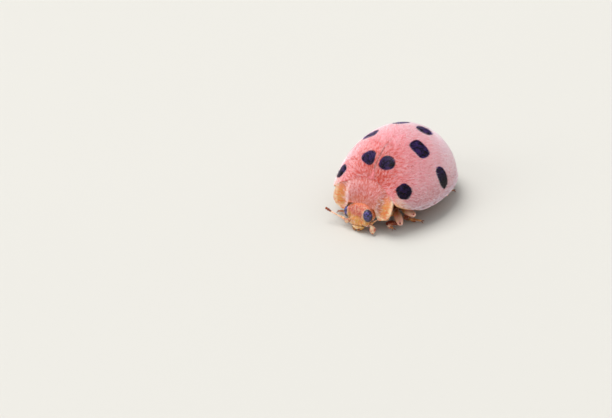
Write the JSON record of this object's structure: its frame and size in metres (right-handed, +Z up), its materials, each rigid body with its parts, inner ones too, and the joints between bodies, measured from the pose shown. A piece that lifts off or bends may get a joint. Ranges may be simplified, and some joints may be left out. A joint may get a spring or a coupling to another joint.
{
  "type": "ladybird",
  "caption": "Life-size pink, downy, black-spotted plant-eating ladybird, crouched on all its feet with the head bent down to feed.",
  "frame": {"origin": "on the floor, under the middle of the body's bounding box", "axes": "+Z up from the floor, -Y the way the head points, +X the insect's own left side"},
  "size_m": [0.0056, 0.0073, 0.0038],
  "materials": {
    "elytra": "salmon pink shell with round black spots, finely pitted, under short pale down",
    "pronotum": "coral pink shield with translucent amber side lobes, under short pale down",
    "face": "pink brow running to a glossy yellow-orange face",
    "eyes": "faceted blue-black with an indigo bloom",
    "limbs": "translucent amber to red-brown, with fine pale hairs",
    "underside": "red-brown plates with fine hairs"
  },
  "bodies": {
    "root": {"elytron_left": "elytra", "elytron_right": "elytra", "scutellum": "elytra", "pronotum": "pronotum", "prosternum": "underside", "thorax": "underside", "abdomen": "underside", "head": "face", "mouthparts": "face", "eye_left": "eyes", "eye_right": "eyes", "antenna_left": "limbs", "antenna_right": "limbs", "palp_left": "limbs", "palp_right": "limbs", "leg_front_left": "limbs", "leg_front_right": "limbs", "leg_mid_left": "limbs", "leg_mid_right": "limbs", "leg_hind_left": "limbs", "leg_hind_right": "limbs"}
  },
  "joints": []
}
